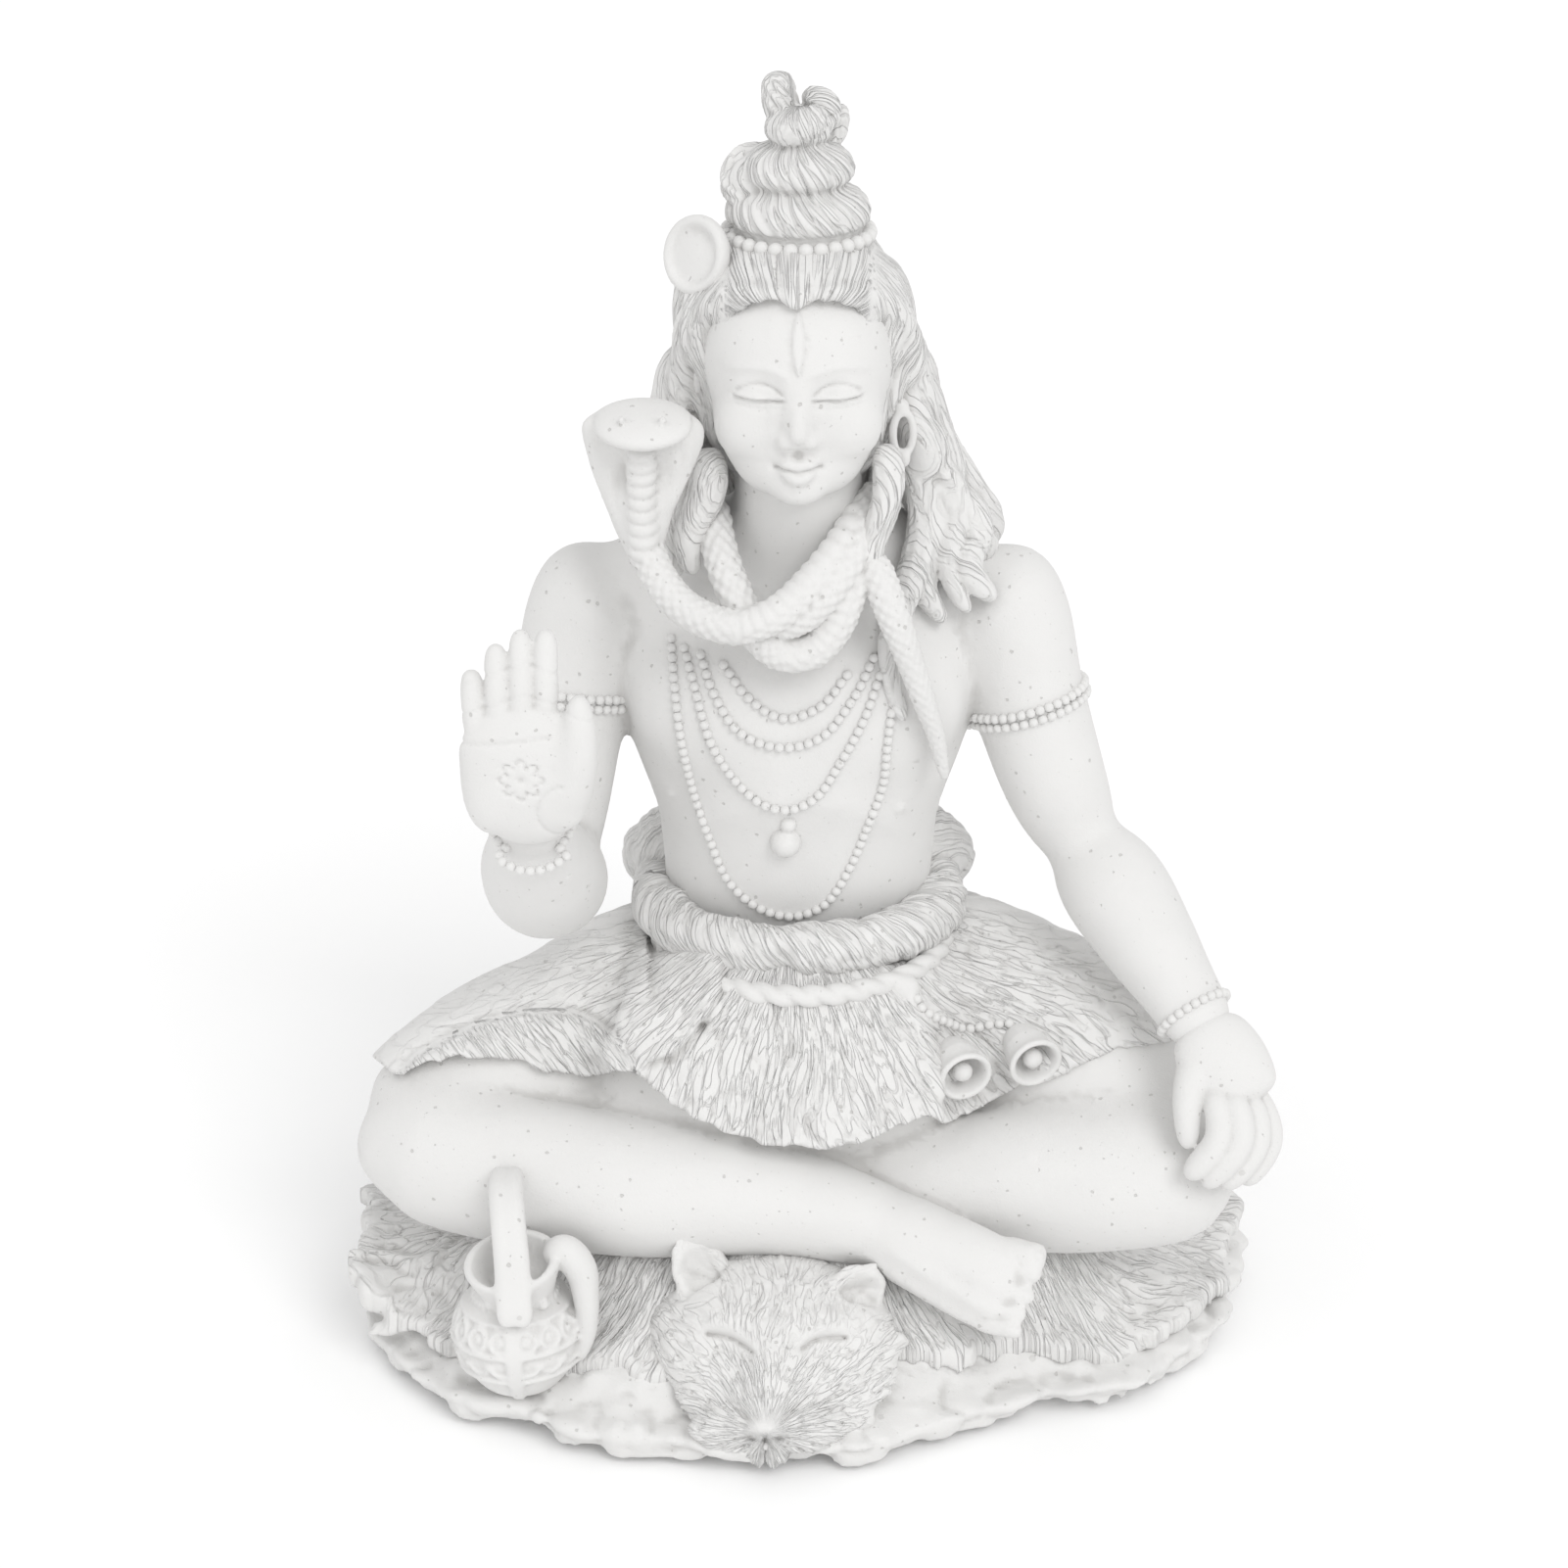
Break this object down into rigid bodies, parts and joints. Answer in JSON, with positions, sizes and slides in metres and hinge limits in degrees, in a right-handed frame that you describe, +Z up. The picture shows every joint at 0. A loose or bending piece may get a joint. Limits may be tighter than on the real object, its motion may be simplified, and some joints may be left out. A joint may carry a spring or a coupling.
{
  "type": "shiva figure",
  "caption": "Small cast white figure of Shiva seated cross-legged on a tiger skin over a rock, one hand raised, with cobra, water pot and bells.",
  "frame": {"origin": "middle of the footprint, on the flat underside of the rock", "axes": "+Z up, the figure faces -Y, +X towards the figure's left hand"},
  "size_m": [0.1115, 0.0871, 0.1502],
  "materials": {
    "cast_resin": "matt white stone-filled casting resin, unpainted, with small open bubbles and grey filler grains"
  },
  "bodies": {
    "root": {"shiva_figure": "cast_resin"}
  },
  "joints": []
}
